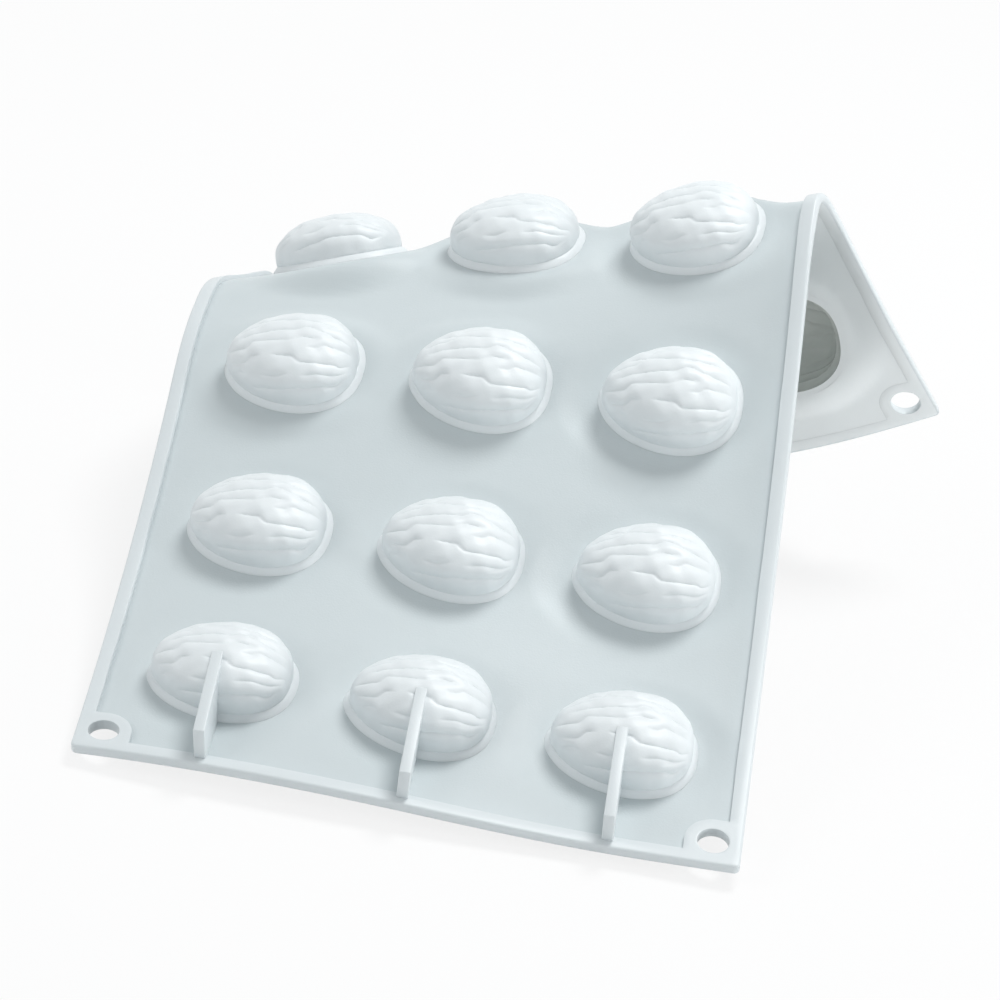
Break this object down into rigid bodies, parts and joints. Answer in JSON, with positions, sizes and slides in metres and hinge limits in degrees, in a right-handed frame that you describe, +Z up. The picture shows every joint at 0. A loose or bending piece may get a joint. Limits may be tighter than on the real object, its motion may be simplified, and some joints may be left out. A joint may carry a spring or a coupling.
{
  "type": "silicone baking mould",
  "caption": "Thin silicone baking mould with rows of walnut-half cups, a raised rim and corner hanging holes, folded back over itself so that it stands like a tent.",
  "frame": {"origin": "centre of the footprint of the folded mould, on the table that it stands on", "axes": "+Z up from the table, +X to the right across the sheet as seen from its front panel, +Y from the front panel back to the flap"},
  "size_m": [0.2134, 0.2282, 0.1148],
  "materials": {
    "web_silicone": "matte silicone",
    "cup_silicone": "satin silicone, glossy inside the cavities",
    "rim_silicone": "matte silicone",
    "fin_silicone": "matte silicone"
  },
  "bodies": {
    "front_sheet": {"cup_row_1_left": "cup_silicone", "cup_row_1_middle": "cup_silicone", "cup_row_1_right": "cup_silicone", "cup_row_2_left": "cup_silicone", "cup_row_2_middle": "cup_silicone", "cup_row_2_right": "cup_silicone", "cup_row_3_left": "cup_silicone", "cup_row_3_middle": "cup_silicone", "cup_row_3_right": "cup_silicone", "cup_row_4_left": "cup_silicone", "cup_row_4_middle": "cup_silicone", "cup_row_4_right": "cup_silicone", "fold_left_rim": "rim_silicone", "fold_right_rim": "rim_silicone", "fold_web": "web_silicone", "front_end_rim": "rim_silicone", "front_fin_left": "fin_silicone", "front_fin_middle": "fin_silicone", "front_fin_right": "fin_silicone", "front_left_corner_boss": "rim_silicone", "front_left_rim": "rim_silicone", "front_right_corner_boss": "rim_silicone", "front_right_rim": "rim_silicone", "web_row_1": "web_silicone", "web_row_2": "web_silicone", "web_row_3": "web_silicone", "web_row_4": "web_silicone"},
    "rear_flap": {"cup_row_5_left": "cup_silicone", "cup_row_5_middle": "cup_silicone", "cup_row_5_right": "cup_silicone", "rear_end_rim": "rim_silicone", "rear_fin_left": "fin_silicone", "rear_fin_middle": "fin_silicone", "rear_fin_right": "fin_silicone", "rear_left_corner_boss": "rim_silicone", "rear_left_rim": "rim_silicone", "rear_right_corner_boss": "rim_silicone", "rear_right_rim": "rim_silicone", "web_row_5": "web_silicone"}
  },
  "joints": [
    {"name": "flap_fold", "type": "hinge", "parent": "front_sheet", "child": "rear_flap", "pos_m": [-0.01208, 0.09304, 0.07058], "axis": [0.9248, -0.1694, 0.3407], "range_deg": [0, 60], "deforming": ["fold_left_rim", "fold_right_rim", "fold_web"]}
  ]
}
